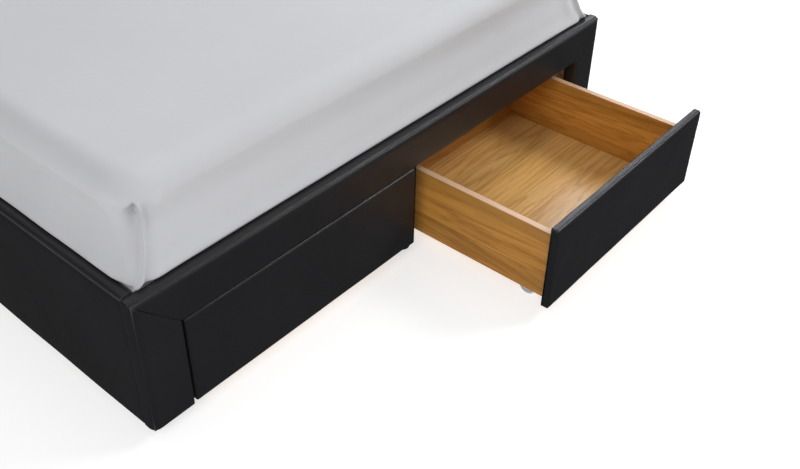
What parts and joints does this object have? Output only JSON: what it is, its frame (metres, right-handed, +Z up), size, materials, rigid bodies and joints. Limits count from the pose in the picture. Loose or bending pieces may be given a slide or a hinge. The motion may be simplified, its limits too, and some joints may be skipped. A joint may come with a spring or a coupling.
{
  "type": "platform bed with storage drawers",
  "caption": "Low double bed upholstered in black leather, with a padded headboard, a mattress on slats, and storage drawers on castors that roll out of its foot end.",
  "frame": {"origin": "on the floor, in the middle of the bed's box with the right drawer pulled out", "axes": "+Y towards the headboard, +X across the bed to the right as seen from the foot end, +Z up"},
  "size_m": [1.42, 2.347, 0.95],
  "materials": {
    "black_leather": "satin imitation leather with a fine grain",
    "structural_wood": "plain sawn softwood and board",
    "drawer_wood": "lacquered edge-glued oak-coloured strips",
    "slat_wood": "planed laminated slats",
    "black_paint": "matt black stain",
    "black_steel": "powder coat",
    "zinc_steel": "bright zinc plate",
    "black_plastic": "moulded",
    "grey_plastic": "moulded",
    "mattress_ticking": "woven ticking",
    "white_sheet": "smooth woven cotton"
  },
  "bodies": {
    "root": {"foot_rail_core": "structural_wood", "foot_rail_cover": "black_leather", "foot_post_core_left": "structural_wood", "foot_post_core_right": "structural_wood", "foot_post_cover_left": "black_leather", "foot_post_cover_right": "black_leather", "side_rail_core_left": "structural_wood", "side_rail_core_right": "structural_wood", "side_rail_cover_left": "black_leather", "side_rail_cover_right": "black_leather", "slat_ledge_left": "structural_wood", "slat_ledge_right": "structural_wood", "support_blocks": "structural_wood", "frame_feet": "black_plastic", "frame_bolts": "zinc_steel", "centre_beam": "black_steel", "beam_brackets": "black_steel", "front_divider": "black_paint", "centre_legs": "structural_wood", "leg_glides": "black_plastic", "slats": "slat_wood", "slat_screws": "zinc_steel", "mattress": "mattress_ticking", "fitted_sheet": "white_sheet", "headboard_board": "structural_wood", "headboard_wrap": "black_leather", "headboard_lower_panel": "black_leather", "headboard_pad_low": "black_leather", "headboard_pad_middle": "black_leather", "headboard_pad_top": "black_leather"},
    "left_drawer": {"left_drawer_front_core": "structural_wood", "left_drawer_front_cover": "black_leather", "left_drawer_side_left": "drawer_wood", "left_drawer_side_right": "drawer_wood", "left_drawer_inner_front": "drawer_wood", "left_drawer_back": "drawer_wood", "left_drawer_bottom": "drawer_wood", "left_drawer_castor_brackets": "zinc_steel", "left_drawer_castor_axles": "zinc_steel", "left_drawer_castor_screws": "zinc_steel", "left_drawer_front_screws": "zinc_steel"},
    "left_drawer_front_left_wheel": {"left_drawer_wheel_front_left": "grey_plastic"},
    "left_drawer_front_right_wheel": {"left_drawer_wheel_front_right": "grey_plastic"},
    "left_drawer_rear_left_wheel": {"left_drawer_wheel_rear_left": "grey_plastic"},
    "left_drawer_rear_right_wheel": {"left_drawer_wheel_rear_right": "grey_plastic"},
    "right_drawer": {"right_drawer_front_core": "structural_wood", "right_drawer_front_cover": "black_leather", "right_drawer_side_left": "drawer_wood", "right_drawer_side_right": "drawer_wood", "right_drawer_inner_front": "drawer_wood", "right_drawer_back": "drawer_wood", "right_drawer_bottom": "drawer_wood", "right_drawer_castor_brackets": "zinc_steel", "right_drawer_castor_axles": "zinc_steel", "right_drawer_castor_screws": "zinc_steel", "right_drawer_front_screws": "zinc_steel"},
    "right_drawer_front_left_wheel": {"right_drawer_wheel_front_left": "grey_plastic"},
    "right_drawer_front_right_wheel": {"right_drawer_wheel_front_right": "grey_plastic"},
    "right_drawer_rear_left_wheel": {"right_drawer_wheel_rear_left": "grey_plastic"},
    "right_drawer_rear_right_wheel": {"right_drawer_wheel_rear_right": "grey_plastic"}
  },
  "joints": [
    {"name": "left_drawer_slide", "type": "slide", "parent": "root", "child": "left_drawer", "axis": [0, -1, 0], "range_m": [0, 0.461]},
    {"name": "left_drawer_front_left_wheel_spin", "type": "hinge", "parent": "left_drawer", "child": "left_drawer_front_left_wheel", "pos_m": [-0.563, -0.7535, 0.02], "axis": [1, 0, 0], "range_deg": [-1600, 1600]},
    {"name": "left_drawer_front_right_wheel_spin", "type": "hinge", "parent": "left_drawer", "child": "left_drawer_front_right_wheel", "pos_m": [-0.06, -0.7535, 0.02], "axis": [1, 0, 0], "range_deg": [-1600, 1600]},
    {"name": "left_drawer_rear_left_wheel_spin", "type": "hinge", "parent": "left_drawer", "child": "left_drawer_rear_left_wheel", "pos_m": [-0.563, -0.4135, 0.02], "axis": [1, 0, 0], "range_deg": [-1600, 1600]},
    {"name": "left_drawer_rear_right_wheel_spin", "type": "hinge", "parent": "left_drawer", "child": "left_drawer_rear_right_wheel", "pos_m": [-0.06, -0.4135, 0.02], "axis": [1, 0, 0], "range_deg": [-1600, 1600]},
    {"name": "right_drawer_slide", "type": "slide", "parent": "root", "child": "right_drawer", "axis": [0, -1, 0], "range_m": [-0.341, 0.12]},
    {"name": "right_drawer_front_left_wheel_spin", "type": "hinge", "parent": "right_drawer", "child": "right_drawer_front_left_wheel", "pos_m": [0.06, -1.0945, 0.02], "axis": [1, 0, 0], "range_deg": [-1600, 1600]},
    {"name": "right_drawer_front_right_wheel_spin", "type": "hinge", "parent": "right_drawer", "child": "right_drawer_front_right_wheel", "pos_m": [0.563, -1.0945, 0.02], "axis": [1, 0, 0], "range_deg": [-1600, 1600]},
    {"name": "right_drawer_rear_left_wheel_spin", "type": "hinge", "parent": "right_drawer", "child": "right_drawer_rear_left_wheel", "pos_m": [0.06, -0.7545, 0.02], "axis": [1, 0, 0], "range_deg": [-1600, 1600]},
    {"name": "right_drawer_rear_right_wheel_spin", "type": "hinge", "parent": "right_drawer", "child": "right_drawer_rear_right_wheel", "pos_m": [0.563, -0.7545, 0.02], "axis": [1, 0, 0], "range_deg": [-1600, 1600]}
  ],
  "couplings": [
    {"joint": "left_drawer_front_left_wheel_spin", "follows": "left_drawer_slide", "rad_per_m": 50},
    {"joint": "left_drawer_front_right_wheel_spin", "follows": "left_drawer_slide", "rad_per_m": 50},
    {"joint": "left_drawer_rear_left_wheel_spin", "follows": "left_drawer_slide", "rad_per_m": 50},
    {"joint": "left_drawer_rear_right_wheel_spin", "follows": "left_drawer_slide", "rad_per_m": 50},
    {"joint": "right_drawer_front_left_wheel_spin", "follows": "right_drawer_slide", "rad_per_m": 50},
    {"joint": "right_drawer_front_right_wheel_spin", "follows": "right_drawer_slide", "rad_per_m": 50},
    {"joint": "right_drawer_rear_left_wheel_spin", "follows": "right_drawer_slide", "rad_per_m": 50},
    {"joint": "right_drawer_rear_right_wheel_spin", "follows": "right_drawer_slide", "rad_per_m": 50}
  ]
}
